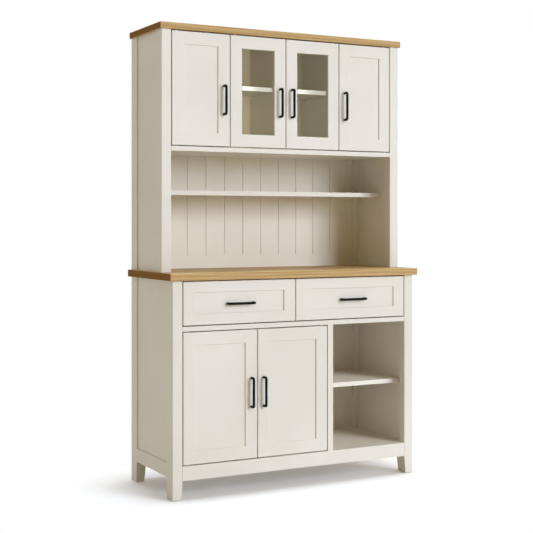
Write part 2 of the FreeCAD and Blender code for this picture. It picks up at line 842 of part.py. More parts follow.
def handle(name, x, z, face_y, back_of_front_y, upright):
    # The bow stands on face_y about the point x, z. Its screws start at back_of_front_y.
    half = d.handle_centres / 2
    body = new_body(f"{name}_bow")
    if upright:
        feet = [(x, z - half), (x, z + half)]
        path = plane_sketch(body, "path", "YZ_Plane", x)
        bow_path(path, (face_y, z - half), (face_y, z + half), (0, 1), (-1, 0))
    else:
        feet = [(x - half, z), (x + half, z)]
        path = level_sketch(body, "path", z)
        bow_path(path, (x - half, face_y), (x + half, face_y), (1, 0), (0, -1))
    section = front_sketch(body, "section", face_y)
    section.addGeometry(Part.Circle(flat_point(feet[0]), Vector(0, 0, 1), d.handle_radius.value), False)
    fix_point(section, 0, 3, *feet[0])
    fix_radius(section, 0, d.handle_radius)
    bar = body.newObject("PartDesign::AdditivePipe", "bar")
    bar.Profile = section
    bar.Spine = (path, [f"Edge{index}" for index in range(1, 6)])
    body.Tip = bar
    screws = []
    for foot_x, foot_z in feet:
        tip_y = face_y - d.screw_bite
        shank = rod("screw_shank", "y", (foot_x, tip_y, foot_z), back_of_front_y - tip_y, d.screw_radius)
        head_start = (foot_x, back_of_front_y, foot_z)
        head = rod("screw_head", "y", head_start, d.screw_head_thick, d.screw_head_radius)
        screws.append(joined("handle_screw", [shank, head]))
    screw_pair = group(f"{name}_screws", screws)
    tapped = cut(f"{name}_tapped", body, screw_pair)
    node(group(f"{name}_group", [tapped, *screws]), name)
    return screw_pair


# Fronts: slabs with a sunk field, or frames with a rebate for glass
def front_blank(name, x, z, face_y):
    body = new_body(name)
    sketch = front_sketch(body, "face", face_y)
    draw_outline(sketch, rectangle(x, z))
    add_feature(body, "Pad", "slab", sketch, d.front_thick, backwards=True)
    return body


def inset(span, margin):
    low, high = sorted(span)
    return (low + margin, high - margin)


def sink(body, name, x, z, y, depth, backwards=False):
    sketch = front_sketch(body, name, y)
    draw_outline(sketch, rectangle(x, z))
    return add_feature(body, "Pocket", name, sketch, depth, backwards)


def ease_front(body, face_y):
    doc.recompute()
    edges = edges_where(
        body.Tip.Shape,
        lambda points: all(abs(point.y - face_y.value) < tolerance for point in points),
    )
    ease_edges(body, "Chamfer", body.Tip, edges, d.front_ease)


def pivot_bores(door):
    pivot_y = door["face"] + d.front_thick / 2
    low, high = door["z"]
    depth = d.pivot_bite + d.pivot_bore_spare + d.overrun
    radius = d.pivot_radius + d.pivot_play
    return [
        rod("pivot_bore", "z", (door["hinge_x"], pivot_y, low - d.overrun), depth, radius),
        rod("pivot_bore", "z", (door["hinge_x"], pivot_y, high + d.overrun - depth), depth, radius),
    ]


def hang_door(door, body, leaf_label, handle_z):
    back_y_of_door = door["face"] + d.front_thick
    name = door["name"]
    screws = handle(f"{name}_handle", door["free_x"], handle_z, door["face"], back_y_of_door, True)
    bores = group(f"{name}_bores", [*pivot_bores(door), screws])
    node(cut(f"{name}_bored", body, bores), leaf_label)


def solid_door(door, handle_z):
    body = front_blank(f"{door['name']}_blank", door["x"], door["z"], door["face"])
    field_x = inset(door["x"], d.stile_width)
    field_z = inset(door["z"], d.stile_width)
    sink(body, "field", field_x, field_z, door["face"], d.recess_depth)
    ease_front(body, door["face"])
    hang_door(door, body, door["name"], handle_z)


def glass_door(door, handle_z):
    name = door["name"]
    face_y = door["face"]
    body = front_blank(f"{name}_blank", door["x"], door["z"], face_y)
    sight_x = inset(door["x"], d.stile_width)
    sight_z = inset(door["z"], d.stile_width)
    seat_x = inset(sight_x, -d.glass_seat)
    seat_z = inset(sight_z, -d.glass_seat)
    sink(body, "opening", sight_x, sight_z, face_y, d.front_thick)
    seat_depth = d.front_thick - d.glass_lip
    sink(body, "rebate", seat_x, seat_z, face_y + d.front_thick, seat_depth, backwards=True)
    ease_front(body, face_y)
    hang_door(door, body, f"{name}_frame", handle_z)
    glass_y = face_y + d.glass_lip
    bead_y = glass_y + d.glass_thick
    pane_x = inset(seat_x, d.glass_play)
    pane_z = inset(seat_z, d.glass_play)
    node(board(f"{name}_glass", pane_x, (glass_y, bead_y), pane_z), f"{name}_pane")
    bead_span = (bead_y, face_y + d.front_thick)
    (left, right), (low, high) = sorted(seat_x), sorted(seat_z)
    (sight_left, sight_right), (sight_low, sight_high) = sorted(sight_x), sorted(sight_z)
    beads = [
        board("bead", (left, right), bead_span, (low, sight_low)),
        board("bead", (left, right), bead_span, (sight_high, high)),
        board("bead", (left, sight_left), bead_span, (sight_low, sight_high)),
        board("bead", (sight_right, right), bead_span, (sight_low, sight_high)),
    ]
    node(group(f"{name}_bead_set", beads), f"{name}_beads")


hutch_handle_z = (hutch_door_z[0] + hutch_door_z[1]) / 2 - d.hutch_handle_drop
base_handle_z = (base_door_z[0] + base_door_z[1]) / 2 + d.base_handle_rise
for door in hutch_leaves:
    make = glass_door if door["name"].startswith("glass") else solid_door
    make(door, hutch_handle_z)
for door in base_leaves:
    solid_door(door, base_handle_z)

# Drawers: a front, grooved sides on fixed runners, a back and a bottom let into the sides
drawer_z = (mid_top_z + d.reveal, worktop_z - d.reveal)
box_z = drawer_z[0] + d.box_lift
box_y = base_y + d.front_thick
box_end_y = box_y + d.box_depth
box_top_z = box_z + d.box_height
bottom_z = box_z + d.box_bottom_lift
bottom_top_z = bottom_z + d.box_bottom_thick
runner_z = box_z + d.runner_lift
runner_y = base_y + d.front_core_depth + d.runner_play
runners = []


def drawer(label, x, stiles, outer_wall_x, inner_wall_x):
    # stiles are the borders left and right of the field, with the handle in its middle.
    # outer_wall_x and inner_wall_x are the faces that carry the two runners.
    name = f"drawer_{label}"
    left, right = sorted(x)
    body = front_blank(f"{name}_blank", (left, right), drawer_z, base_y)
    field_x = (left + stiles[0], right - stiles[1])
    field_z = inset(drawer_z, d.drawer_rail_width)
    sink(body, "field", field_x, field_z, base_y, d.recess_depth)
    ease_front(body, base_y)
    middle_x = (field_x[0] + field_x[1]) / 2
    middle_z = (drawer_z[0] + drawer_z[1]) / 2 - d.drawer_handle_drop
    screws = handle(f"{name}_handle", middle_x, middle_z, base_y + d.recess_depth, box_y, False)
    node(cut(f"{name}_front_bored", body, screws), f"{name}_front")
    outer_left, outer_right = left + d.box_side_gap, right - d.box_side_gap
    inner_left, inner_right = outer_left + d.box_side_thick, outer_right - d.box_side_thick
    bottom_x = (inner_left - d.box_bottom_seat, inner_right + d.box_bottom_seat)
    bottom = board(f"{name}_base", bottom_x, (box_y, box_end_y), (bottom_z, bottom_top_z))
    node(bottom, f"{name}_bottom")
    back_span = (box_end_y - d.box_side_thick, box_end_y)
    back = board(f"{name}_rear", (inner_left, inner_right), back_span, (bottom_top_z, box_top_z))
    node(back, f"{name}_back")
    groove_z = (runner_z - d.runner_play, runner_z + d.runner_height + d.runner_play)
    groove_y = (box_y - d.overrun, box_end_y + d.overrun)
    runner_span = (runner_y, runner_y + d.runner_length)
    box_sides = []
    for edge_x, inner_x_of_side, wall_x, inward in (
        (outer_left, inner_left, outer_wall_x, 1),
        (outer_right, inner_right, inner_wall_x, -1),
    ):
        blank = board(f"{name}_side_blank", (edge_x, inner_x_of_side), (box_y, box_end_y), (box_z, box_top_z))
        groove_x = (edge_x - d.overrun * inward, edge_x + (d.runner_bite + d.runner_play) * inward)
        groove = board(f"{name}_side_groove", groove_x, groove_y, groove_z)
        slots = group(f"{name}_side_slots", [groove, bottom])
        box_sides.append(cut(f"{name}_side", blank, slots))
        runner_x = (wall_x, edge_x + d.runner_bite * inward)
        runners.append(board("runner", runner_x, runner_span, (runner_z, runner_z + d.runner_height)))
    node(group(f"{name}_side_pair", box_sides), f"{name}_sides")


half_reveal = d.reveal / 2
left_x = (-inner_x + d.reveal, split_x - half_reveal)
right_x = (split_x + half_reveal, inner_x - d.reveal)
even_stiles = (d.drawer_stile_width, d.drawer_stile_width)
wide_stiles = (d.drawer_split_stile, d.drawer_stile_width)
drawer("left", left_x, even_stiles, -panel_in_x, drawer_divider_x[0])
drawer("right", right_x, wide_stiles, drawer_divider_x[1], panel_in_x)
node(group("runner_group", runners), "drawer_runners")

# Check every object, then write the pieces
doc.recompute()
for thing in doc.Objects:
    if "Invalid" in thing.State or "Error" in thing.State:
        raise RuntimeError(f"{thing.Label} failed: {thing.State}")
for thing in nodes:
    if thing.Shape.isNull() or not thing.Shape.isValid() or not thing.Shape.Solids:
        raise RuntimeError(f"{thing.Label} has no sound shape")
os.makedirs("parts", exist_ok=True)
for thing in nodes:
    thing.Shape.exportStep(f"parts/{thing.Label}.step")
    solids = thing.Shape.Solids
    print(thing.Label, len(solids), "solids", round(thing.Shape.Volume), "mm3")
print(len(nodes), "pieces")
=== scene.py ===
import json
import math
import bpy
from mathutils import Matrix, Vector


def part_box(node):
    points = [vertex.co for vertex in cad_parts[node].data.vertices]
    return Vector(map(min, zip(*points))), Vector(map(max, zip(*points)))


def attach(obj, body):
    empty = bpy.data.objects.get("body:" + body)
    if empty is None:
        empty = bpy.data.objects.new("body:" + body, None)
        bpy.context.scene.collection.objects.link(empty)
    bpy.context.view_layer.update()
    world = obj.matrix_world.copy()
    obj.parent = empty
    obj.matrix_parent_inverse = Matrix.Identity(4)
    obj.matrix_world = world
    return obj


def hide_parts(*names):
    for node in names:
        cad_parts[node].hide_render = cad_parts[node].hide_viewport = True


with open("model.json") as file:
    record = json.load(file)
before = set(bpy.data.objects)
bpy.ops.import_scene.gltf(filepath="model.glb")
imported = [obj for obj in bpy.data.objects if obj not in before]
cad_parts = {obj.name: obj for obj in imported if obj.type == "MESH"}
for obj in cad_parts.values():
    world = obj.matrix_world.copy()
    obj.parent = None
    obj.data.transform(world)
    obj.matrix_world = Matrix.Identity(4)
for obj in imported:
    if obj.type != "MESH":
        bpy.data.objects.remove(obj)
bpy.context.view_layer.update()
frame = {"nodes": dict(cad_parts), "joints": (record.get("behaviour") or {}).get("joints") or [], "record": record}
cadNodes = frame["nodes"]
scene = bpy.context.scene
scene.view_settings.view_transform = "Standard"
bpy.ops.object.select_all(action="DESELECT")  # the CAD nodes come in selected


# Node helpers

def linear(hexColour):  # sRGB hex to the linear colour of a socket
    channels = [int(hexColour[i:i + 2], 16) / 255 for i in (1, 3, 5)]
    return tuple(c / 12.92 if c <= 0.04045 else ((c + 0.055) / 1.055) ** 2.4 for c in channels) + (1.0,)


def perMetre(mm):  # how many marks of this size lie along a metre
    return 1000 / mm


def addNode(tree, kind, inputs=None, **settings):
    node = tree.nodes.new("ShaderNode" + kind)
    for name, value in settings.items():
        if name == "stops":  # places and colours along a ramp
            marks = node.color_ramp.elements
            marks.remove(marks[1])
            marks[0].position, marks[0].color = value[0][0], linear(value[0][1])
            for place, colour in value[1:]:
                marks.new(place).color = linear(colour)
        else:
            setattr(node, name, value)
    for name, value in (inputs or {}).items():
        if isinstance(value, bpy.types.NodeSocket):
            tree.links.new(value, node.inputs[name])
        else:
            node.inputs[name].default_value = value
    return node


def newFinish(name):
    material = bpy.data.materials.new(name)
    material.use_nodes = True
    material.node_tree.nodes.clear()
    return material, material.node_tree


# Board and softwood sprayed with satin paint: an even off-white, a soft sheen, a faint roll in the gloss.
# The grooved back panel gets a creamier copy of the coat, which paints the warm shade inside the bays.
paint = {
    "board": [(0.35, "#E0D8C8"), (0.65, "#E6DECF")],
    "back_panel_warm_shade": [(0.35, "#E5DCC6"), (0.65, "#EBE2CC")],
    "cloudMm": 420, "peelMm": 7, "peelDeepMm": 0.02, "ior": 1.48,
    "rough": {"From Min": 0.3, "From Max": 0.7, "To Min": 0.40, "To Max": 0.52},
}


def satinPaint(coat):
    material, tree = newFinish("satin_paint_sprayed_on_" + coat)
    spot = addNode(tree, "TexCoord").outputs["Object"]
    cloud = addNode(tree, "TexNoise", {"Vector": spot, "Scale": perMetre(paint["cloudMm"]), "Detail": 3.0})
    tone = addNode(tree, "ValToRGB", {"Fac": cloud.outputs["Fac"]}, stops=paint[coat])
    # real orange peel is 1 to 2 mm wide; it is drawn coarser, so that it shows
    peel = addNode(tree, "TexNoise", {"Vector": spot, "Scale": perMetre(paint["peelMm"]), "Detail": 2.0})
    rough = addNode(tree, "MapRange", {"Value": peel.outputs["Fac"], **paint["rough"]})
    roll = addNode(tree, "Bump", {"Height": peel.outputs["Fac"], "Distance": paint["peelDeepMm"] / 1000})
    shader = addNode(tree, "BsdfPrincipled", {
        "Base Color": tone.outputs["Color"], "Roughness": rough.outputs["Result"],
        "Normal": roll.outputs["Normal"], "IOR": paint["ior"]})
    addNode(tree, "OutputMaterial", {"Surface": shader.outputs["BSDF"]})
    return material


# Oiled oak in glued staves: honey bands of growth rings, fine fibre lines, short dark pores along the board
oak = {
    "rings": [(0.0, "#CBAE76"), (0.55, "#BC9965"), (0.9, "#9C7543"), (1.0, "#BC9965")], "ringMm": 6.5,
    "staveMm": 87, "staveTone": {"To Min": 0.93, "To Max": 1.06},
    "staveApart": 7.0,  # how far apart two staves may lie in the noises
    "pithMm": (95, 95 / 3),  # how deep under the board's middle the heart of a tree may lie
    "bowMm": (588, 143, 143), "wobbleMm": 34,
    # real fibres and pores are well under a millimetre wide; both are drawn coarser, so that they show
    "fibres": [(0.3, "#9C7A4C"), (0.5, "#BC9965"), (0.72, "#CDB083")],
    "fibreMm": (190, 2.4, 2.4), "fibreShare": 0.55,
    "pore": "#6E4D2A", "poreMm": (16, 1.3, 1.3),
    "pores": {"From Min": 0.62, "From Max": 0.7, "To Min": 0.0, "To Max": 0.45},
    "end": "#825A22", "endShare": 0.9, "ends": {"From Min": 0.4, "From Max": 0.9},
    "rough": {"From Min": 0.3, "From Max": 0.7, "To Min": 0.42, "To Max": 0.58},
    "grainDeepMm": 0.12, "ior": 1.47, "sheen": 0.25,
}


def oiledOak(boardZ, seed):
    material, tree = newFinish("oiled_oak_glued_staves_%d" % seed)
    spot = addNode(tree, "TexCoord").outputs["Object"]
    axes = addNode(tree, "SeparateXYZ", {0: spot})
    stave = addNode(tree, "Math", {0: axes.outputs["Y"], 1: perMetre(oak["staveMm"])}, operation="MULTIPLY")
    number = addNode(tree, "Math", {0: stave.outputs[0]}, operation="FLOOR")
    lot = addNode(tree, "Math", {0: number.outputs[0], 1: float(seed)}, operation="ADD")
    chance = addNode(tree, "TexWhiteNoise", {"W": lot.outputs[0]}, noise_dimensions="1D")
    draw = addNode(tree, "SeparateColor", {0: chance.outputs["Color"]})
    # each stave is cut at its own place beside the heart of its tree
    inStave = addNode(tree, "Math", {0: stave.outputs[0]}, operation="FRACT")
    across = addNode(tree, "Math", {0: inStave.outputs[0], 1: draw.outputs[0]}, operation="SUBTRACT")
    acrossHeart = addNode(tree, "Math", {
        0: across.outputs[0], 1: oak["staveMm"] / 1000}, operation="MULTIPLY")
    deepest, highest = [boardZ - mm / 1000 for mm in oak["pithMm"]]
    heart = addNode(tree, "MapRange", {"Value": draw.outputs[1], "To Min": deepest, "To Max": highest})
    height = addNode(tree, "Math", {0: axes.outputs["Z"], 1: heart.outputs[0]}, operation="SUBTRACT")
    section = addNode(tree, "CombineXYZ", {0: acrossHeart.outputs[0], 1: height.outputs[0]})
    radius = addNode(tree, "VectorMath", {0: section.outputs[0]}, operation="LENGTH")
    shift = addNode(tree, "VectorMath", {0: chance.outputs["Color"], 3: oak["staveApart"]}, operation="SCALE")
    bowSpot = addNode(tree, "Mapping", {
        "Vector": spot, "Location": shift.outputs[0], "Scale": [perMetre(mm) for mm in oak["bowMm"]]})
    bow = addNode(tree, "TexNoise", {
        "Vector": bowSpot.outputs[0], "Scale": 1.0, "Detail": 2.0, "Roughness": 0.4})
    wobble = addNode(tree, "Math", {
        0: bow.outputs["Fac"], 1: oak["wobbleMm"] / 1000, 2: radius.outputs["Value"]},
        operation="MULTIPLY_ADD")
    ringCount = addNode(tree, "Math", {
        0: wobble.outputs[0], 1: perMetre(oak["ringMm"])}, operation="MULTIPLY")
    ring = addNode(tree, "Math", {0: ringCount.outputs[0], 1: 1.0}, operation="PINGPONG")
    bands = addNode(tree, "ValToRGB", {"Fac": ring.outputs[0]}, stops=oak["rings"])
    fibreSpot = addNode(tree, "Mapping", {
        "Vector": spot, "Location": shift.outputs[0], "Scale": [perMetre(mm) for mm in oak["fibreMm"]]})
    fibre = addNode(tree, "TexNoise", {"Vector": fibreSpot.outputs[0], "Scale": 1.0, "Detail": 3.0})
    streak = addNode(tree, "ValToRGB", {"Fac": fibre.outputs["Fac"]}, stops=oak["fibres"])
    softBands = addNode(tree, "Mix", {
        0: oak["fibreShare"], 6: bands.outputs["Color"], 7: streak.outputs["Color"]}, data_type="RGBA")
    tone = addNode(tree, "MapRange", {"Value": draw.outputs[2], **oak["staveTone"]})
    toned = addNode(tree, "VectorMath", {0: softBands.outputs[2], 3: tone.outputs[0]}, operation="SCALE")
    poreSpot = addNode(tree, "Mapping", {
        "Vector": spot, "Location": shift.outputs[0], "Scale": [perMetre(mm) for mm in oak["poreMm"]]})
    pore = addNode(tree, "TexNoise", {"Vector": poreSpot.outputs[0], "Scale": 1.0, "Detail": 1.0})
    pores = addNode(tree, "MapRange", {"Value": pore.outputs["Fac"], **oak["pores"]})
    pored = addNode(tree, "Mix", {
        0: pores.outputs[0], 6: toned.outputs[0], 7: linear(oak["pore"])}, data_type="RGBA")
    # end grain drinks the oil and goes darker and duller
    facing = addNode(tree, "SeparateXYZ", {0: addNode(tree, "NewGeometry").outputs["True Normal"]})
    flat = addNode(tree, "Math", {0: facing.outputs["X"]}, operation="ABSOLUTE")
    ends = addNode(tree, "MapRange", {"Value": flat.outputs[0], **oak["ends"]})
    endTone = addNode(tree, "Mix", {
        0: oak["endShare"], 6: pored.outputs[2], 7: linear(oak["end"])}, data_type="RGBA")
    colour = addNode(tree, "Mix", {
        0: ends.outputs[0], 6: pored.outputs[2], 7: endTone.outputs[2]}, data_type="RGBA")
    oiled = addNode(tree, "MapRange", {"Value": fibre.outputs["Fac"], **oak["rough"]})
    rough = addNode(tree, "Math", {0: oiled.outputs[0], 1: ends.outputs[0]}, operation="MAXIMUM")
    relief = addNode(tree, "Math", {0: fibre.outputs["Fac"], 1: pores.outputs[0]}, operation="SUBTRACT")
    grain = addNode(tree, "Bump", {"Height": relief.outputs[0], "Distance": oak["grainDeepMm"] / 1000})
    shader = addNode(tree, "BsdfPrincipled", {
        "Base Color": colour.outputs[2], "Roughness": rough.outputs[0], "Normal": grain.outputs["Normal"],
        "IOR": oak["ior"], "Specular IOR Level": oak["sheen"]})
    addNode(tree, "OutputMaterial", {"Surface": shader.outputs["BSDF"]})
    return material


# Clear float glass: a faint green body, a dim warm mirror image, and a slow ripple left by the float bath
glass = {
    "tint": "#FBFDF7", "mirror": "#BCBAA2", "ior": 1.52,
    "rippleMm": 180, "rippleDeepMm": 0.02, "smearMm": 60,
    "rough": {"From Min": 0.4, "From Max": 0.75, "To Min": 0.0, "To Max": 0.03},
}


def floatGlass():
    material, tree = newFinish("clear_float_glass")
    spot = addNode(tree, "TexCoord").outputs["Object"]
    ripple = addNode(tree, "TexNoise", {"Vector": spot, "Scale": perMetre(glass["rippleMm"]), "Detail": 1.0})
    smear = addNode(tree, "TexNoise", {"Vector": spot, "Scale": perMetre(glass["smearMm"]), "Detail": 3.0})
    rough = addNode(tree, "MapRange", {"Value": smear.outputs["Fac"], **glass["rough"]})
    wave = addNode(tree, "Bump", {"Height": ripple.outputs["Fac"], "Distance": glass["rippleDeepMm"] / 1000})
    pane = addNode(tree, "BsdfPrincipled", {
        "Base Color": linear(glass["tint"]), "Roughness": rough.outputs[0], "Normal": wave.outputs["Normal"],
        "IOR": glass["ior"], "Transmission Weight": 1.0, "Specular Tint": linear(glass["mirror"])})
    # lamps and soft light pass straight through
    clear = addNode(tree, "BsdfTransparent")
    path = addNode(tree, "LightPath")
    through = addNode(tree, "Math", {
        0: path.outputs["Is Shadow Ray"], 1: path.outputs["Is Diffuse Ray"]}, operation="MAXIMUM")
    both = addNode(tree, "MixShader", {0: through.outputs[0], 1: pane.outputs[0], 2: clear.outputs[0]})
    addNode(tree, "OutputMaterial", {"Surface": both.outputs[0]})
    return material


# Steel rod in matt black powder coat: near black, a broad soft highlight, a fine pebbled skin
coat = {
    "tone": [(0.4, "#070708"), (0.75, "#101011")], "pebbleMm": 2.2, "pebbleDeepMm": 0.003,
    "rough": {"From Min": 0.3, "From Max": 0.7, "To Min": 0.46, "To Max": 0.6}, "ior": 1.5, "sheen": 0.15,
}


def powderCoat():
    material, tree = newFinish("matt_black_powder_coat")
    spot = addNode(tree, "TexCoord").outputs["Object"]
    # real pebbles are about half a millimetre wide; they are drawn coarser, so that they show
    pebble = addNode(tree, "TexNoise", {"Vector": spot, "Scale": perMetre(coat["pebbleMm"]), "Detail": 2.0})
    tone = addNode(tree, "ValToRGB", {"Fac": pebble.outputs["Fac"]}, stops=coat["tone"])
    rough = addNode(tree, "MapRange", {"Value": pebble.outputs["Fac"], **coat["rough"]})
    skin = addNode(tree, "Bump", {"Height": pebble.outputs["Fac"], "Distance": coat["pebbleDeepMm"] / 1000})
    shader = addNode(tree, "BsdfPrincipled", {
        "Base Color": tone.outputs["Color"], "Roughness": rough.outputs[0], "Normal": skin.outputs["Normal"],
        "IOR": coat["ior"], "Specular IOR Level": coat["sheen"]})
    addNode(tree, "OutputMaterial", {"Surface": shader.outputs["BSDF"]})
    return material


# Zinc plated steel: a cool grey mirror broken up by the dull clouds of the plating
zinc = {
    "tone": [(0.35, "#A3A6AA"), (0.65, "#C6C8CB")], "cloudMm": 4,
    "rough": {"From Min": 0.3, "From Max": 0.7, "To Min": 0.44, "To Max": 0.24},
}


def zincSteel():
    material, tree = newFinish("zinc_plated_steel")
    spot = addNode(tree, "TexCoord").outputs["Object"]
    cloud = addNode(tree, "TexNoise", {"Vector": spot, "Scale": perMetre(zinc["cloudMm"]), "Detail": 4.0})
    tone = addNode(tree, "ValToRGB", {"Fac": cloud.outputs["Fac"]}, stops=zinc["tone"])
    rough = addNode(tree, "MapRange", {"Value": cloud.outputs["Fac"], **zinc["rough"]})
    shader = addNode(tree, "BsdfPrincipled", {
        "Base Color": tone.outputs["Color"], "Metallic": 1.0, "Roughness": rough.outputs[0]})
    addNode(tree, "OutputMaterial", {"Surface": shader.outputs["BSDF"]})
    return material


# Planed beech: pinkish tan with short darker ray flecks, the grain from front to back
beech = {
    "tone": [(0.35, "#CDA479"), (0.65, "#DDBB92")], "fibreMm": (3, 90, 3),
    "fleck": "#A97F56", "fleckMm": (1.2, 6, 1.2),
    "flecks": {"From Min": 0.64, "From Max": 0.7, "To Max": 0.6},
    "rough": {"To Min": 0.46, "To Max": 0.6}, "ior": 1.47,
}


def planedBeech():
    material, tree = newFinish("planed_beech")
    spot = addNode(tree, "TexCoord").outputs["Object"]
    fibreSpot = addNode(tree, "Mapping", {"Vector": spot, "Scale": [perMetre(mm) for mm in beech["fibreMm"]]})
    fibre = addNode(tree, "TexNoise", {"Vector": fibreSpot.outputs[0], "Scale": 1.0, "Detail": 2.0})
    tone = addNode(tree, "ValToRGB", {"Fac": fibre.outputs["Fac"]}, stops=beech["tone"])
    fleckSpot = addNode(tree, "Mapping", {"Vector": spot, "Scale": [perMetre(mm) for mm in beech["fleckMm"]]})
    fleck = addNode(tree, "TexNoise", {"Vector": fleckSpot.outputs[0], "Scale": 1.0, "Detail": 0.0})
    flecks = addNode(tree, "MapRange", {"Value": fleck.outputs["Fac"], **beech["flecks"]})
    colour = addNode(tree, "Mix", {
        0: flecks.outputs[0], 6: tone.outputs["Color"], 7: linear(beech["fleck"])}, data_type="RGBA")
    rough = addNode(tree, "MapRange", {"Value": fibre.outputs["Fac"], **beech["rough"]})
    shader = addNode(tree, "BsdfPrincipled", {
        "Base Color": colour.outputs[2], "Roughness": rough.outputs[0], "IOR": beech["ior"]})
    addNode(tree, "OutputMaterial", {"Surface": shader.outputs["BSDF"]})
    return material


# Lacquered birch ply: pale wavy face veneer, and light and dark plies on the cut edges
birch = {
    "face": [(0.35, "#D6BC90"), (0.62, "#E6D3AE")], "acrossMm": 26, "alongMm": 260, "swirl": 0.6,
    "plies": [(0.2, "#B28F63"), (0.32, "#E6D3AE")], "plyMm": 2.8,
    "rough": {"To Min": 0.34, "To Max": 0.46}, "ior": 1.5,
}


def birchPly(axis):  # the axis that the board is thin along: 0 for sides, 1 for backs, 2 for bottoms
    material, tree = newFinish("lacquered_birch_ply_%s" % "xyz"[axis])
    spot = addNode(tree, "TexCoord").outputs["Object"]
    waveScale = [perMetre(birch["acrossMm"])] * 3
    waveScale[0 if axis == 1 else 1] = perMetre(birch["alongMm"])  # the veneer's grain runs along the board
    waveSpot = addNode(tree, "Mapping", {"Vector": spot, "Scale": waveScale})
    wave = addNode(tree, "TexNoise", {
        "Vector": waveSpot.outputs[0], "Scale": 1.0, "Detail": 4.0, "Distortion": birch["swirl"]})
    veneer = addNode(tree, "ValToRGB", {"Fac": wave.outputs["Fac"]}, stops=birch["face"])
    axes = addNode(tree, "SeparateXYZ", {0: spot})
    plyCount = addNode(tree, "Math", {
        0: axes.outputs[axis], 1: perMetre(birch["plyMm"])}, operation="MULTIPLY")
    ply = addNode(tree, "Math", {0: plyCount.outputs[0], 1: 0.5}, operation="PINGPONG")
    plies = addNode(tree, "ValToRGB", {"Fac": ply.outputs[0]}, stops=birch["plies"])
    facing = addNode(tree, "SeparateXYZ", {0: addNode(tree, "NewGeometry").outputs["True Normal"]})
    flat = addNode(tree, "Math", {0: facing.outputs[axis]}, operation="ABSOLUTE")
    face = addNode(tree, "Math", {0: flat.outputs[0], 1: 0.5}, operation="GREATER_THAN")
    colour = addNode(tree, "Mix", {
        0: face.outputs[0], 6: plies.outputs["Color"], 7: veneer.outputs["Color"]}, data_type="RGBA")
    rough = addNode(tree, "MapRange", {"Value": wave.outputs["Fac"], **birch["rough"]})
    shader = addNode(tree, "BsdfPrincipled", {
        "Base Color": colour.outputs[2], "Roughness": rough.outputs[0], "IOR": birch["ior"]})
    addNode(tree, "OutputMaterial", {"Surface": shader.outputs["BSDF"]})
    return material


# Moulded nylon and ABS: one colour through, with the dull fine grain of the mould
mould = {
    "nylon": [(0.4, "#2A2A2B"), (0.6, "#343436")], "abs": [(0.4, "#DAD7D0"), (0.6, "#E2DFD9")],
    "grainMm": 2.5, "grainDeepMm": 0.015, "rough": {"To Min": 0.45, "To Max": 0.62}, "ior": 1.5,
}


def mouldedPlastic(kind):
    material, tree = newFinish("moulded_" + kind)
    spot = addNode(tree, "TexCoord").outputs["Object"]
    # real mould grain is a fraction of a millimetre wide; it is drawn coarser, so that it shows
    grain = addNode(tree, "TexNoise", {"Vector": spot, "Scale": perMetre(mould["grainMm"]), "Detail": 2.0})
    tone = addNode(tree, "ValToRGB", {"Fac": grain.outputs["Fac"]}, stops=mould[kind])
    rough = addNode(tree, "MapRange", {"Value": grain.outputs["Fac"], **mould["rough"]})
    skin = addNode(tree, "Bump", {"Height": grain.outputs["Fac"], "Distance": mould["grainDeepMm"] / 1000})
    shader = addNode(tree, "BsdfPrincipled", {
        "Base Color": tone.outputs["Color"], "Roughness": rough.outputs[0], "Normal": skin.outputs["Normal"],
        "IOR": mould["ior"]})
    addNode(tree, "OutputMaterial", {"Surface": shader.outputs["BSDF"]})
    return material


finishes = {
    "painted_board": satinPaint("board"), "glass": floatGlass(), "black_metal": powderCoat(),
    "steel": zincSteel(), "beech": planedBeech(), "nylon": mouldedPlastic("nylon"),
    "magnet_case": mouldedPlastic("abs"),
}
oakBoards = {"hutch_top": (1.7875, 3), "worktop": (0.834, 11)}  # middle height, and a seed for its own staves
ownFinishes = {name: oiledOak(boardZ, seed) for name, (boardZ, seed) in oakBoards.items()}
# painted warm shade: the back panel gets the creamier copy of the coat
ownFinishes["hutch_back"] = satinPaint("back_panel_warm_shade")
ownFinishes["shelf_pins"] = finishes["painted_board"]  # the pins are sprayed over with the boards
for axis, board in enumerate(("sides", "back", "bottom")):
    plywood = birchPly(axis)
    for label in ("left", "right"):
        ownFinishes["drawer_%s_%s" % (label, board)] = plywood
for part in frame["record"]["subparts"]:
    name = part["node"]
    finish = ownFinishes.get(name) or finishes[part["material_slot"]]
    for slot in cadNodes[name].material_slots:
        slot.material = finish
print("finishes:", len(finishes) + len(ownFinishes), "laid on the CAD nodes")


# Edges: each board has its arrises eased, each rod is shaded round
edge = {
    "weld": 0.00001, "flatAngle": 1.0, "roundAngle": 35,
    "bevelAngle": 40, "bevel": 0.0007, "thinBevel": 0.0003, "bevelSteps": 2,
}
roundNodes = {"door_pivot_pins", "shelf_pins", "carcass_dowels", "foot_glides", "drawer_runners"}
thinNodes = {"glass_door_left_pane", "glass_door_right_pane", "wall_brackets", "hutch_back", "base_back"}
for name, node in cadNodes.items():
    weld = node.modifiers.new("joined_corners", "WELD")
    weld.merge_threshold = edge["weld"]
    if name in roundNodes or name.endswith("_handle"):
        split = node.modifiers.new("sharp_rims", "EDGE_SPLIT")
        split.split_angle = math.radians(edge["roundAngle"])
        continue
    flat = node.modifiers.new("whole_faces", "DECIMATE")
    flat.decimate_type = "DISSOLVE"
    flat.angle_limit = math.radians(edge["flatAngle"])
    ease = node.modifiers.new("eased_arrises", "BEVEL")
    ease.limit_method = "ANGLE"
    ease.angle_limit = math.radians(edge["bevelAngle"])
    ease.width = edge["thinBevel"] if name in thinNodes else edge["bevel"]
    ease.segments = edge["bevelSteps"]
    ease.harden_normals = True
print("edges: finished on", len(cadNodes), "CAD nodes")


# Modelling helpers

def pick(*pieces):  # these alone in the selection, the first one active
    bpy.ops.object.select_all(action="DESELECT")
    for piece in pieces:
        piece.select_set(True)
    bpy.context.view_layer.objects.active = pieces[0]


